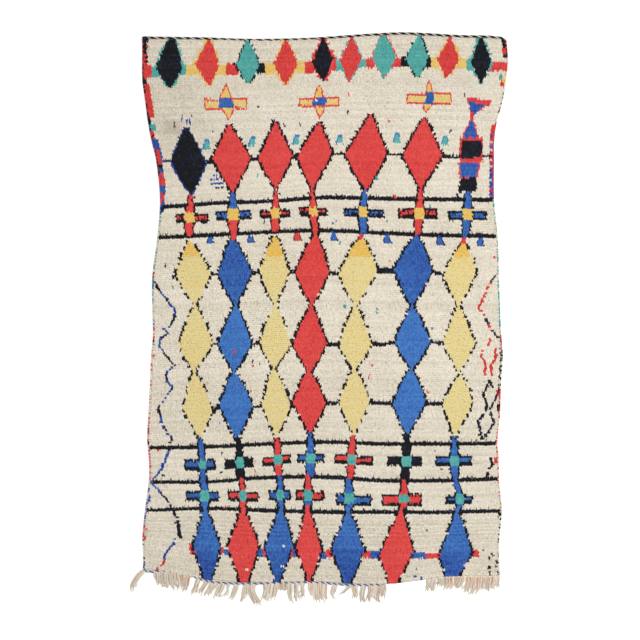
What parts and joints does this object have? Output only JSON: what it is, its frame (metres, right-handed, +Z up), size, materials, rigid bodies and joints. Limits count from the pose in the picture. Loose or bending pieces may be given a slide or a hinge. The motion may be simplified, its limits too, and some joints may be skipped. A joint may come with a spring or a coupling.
{
  "type": "knotted wool rug",
  "caption": "Flat hand-knotted wool rug with an uneven outline, overcast sides, a corded end and a fringed end, to lie on a floor or hang on a wall.",
  "frame": {"origin": "middle of the rug's outline, on the floor under it", "axes": "+Y along the rug from its fringed end to its corded end, +X across it, +Z up out of the pile"},
  "size_m": [1.601, 2.4374, 0.0138],
  "materials": {
    "ivory_wool": "undyed hand-spun wool pile",
    "red_wool": "dyed hand-spun wool pile",
    "blue_wool": "dyed hand-spun wool pile",
    "yellow_wool": "dyed hand-spun wool pile",
    "black_wool": "dark hand-spun wool",
    "turquoise_wool": "dyed hand-spun wool pile",
    "overcast_wool": "dyed wool wound round the outer warps",
    "warp_wool": "undyed wool warp yarn"
  },
  "bodies": {
    "root": {"rug_field": "ivory_wool", "selvedge_left": "overcast_wool", "selvedge_right": "overcast_wool", "end_cord": "black_wool", "fringe_twined": "warp_wool", "fringe_loose": "warp_wool"}
  },
  "joints": []
}
